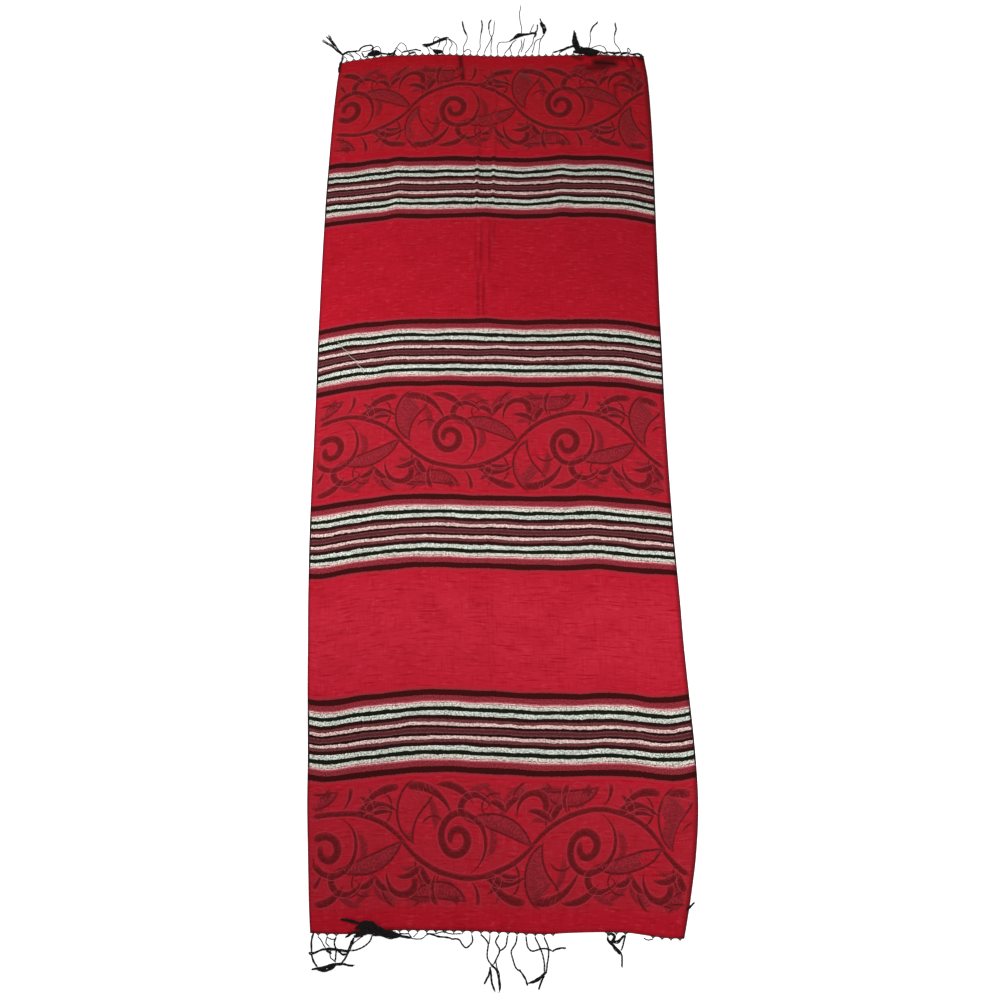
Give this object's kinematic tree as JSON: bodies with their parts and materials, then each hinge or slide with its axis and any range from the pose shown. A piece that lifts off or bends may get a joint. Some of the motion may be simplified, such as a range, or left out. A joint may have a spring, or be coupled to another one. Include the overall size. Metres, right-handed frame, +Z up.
{
  "type": "pashmina shawl",
  "caption": "Rectangular woven shawl lying flat, with plain panels, weft-striped bands, figured scroll bands and knotted thread fringes at its ends.",
  "frame": {"origin": "on the surface that the shawl lies on, under the middle of the cloth", "axes": "+Y along the warp to the far end, +X to the right across the width, +Z up"},
  "size_m": [0.7625, 2.0423, 0.0048],
  "materials": {
    "woven_cloth": "fine slubbed weave with a soft, slightly silky sheen",
    "figure_weave": "figured weave, a little smoother than the ground",
    "pale_thread": "fluffy pulled weft thread",
    "fringe_thread": "twisted matt thread with frayed ends"
  },
  "bodies": {
    "root": {"cloth": "woven_cloth", "fringe_top": "fringe_thread", "fringe_bottom": "fringe_thread"}
  },
  "joints": []
}
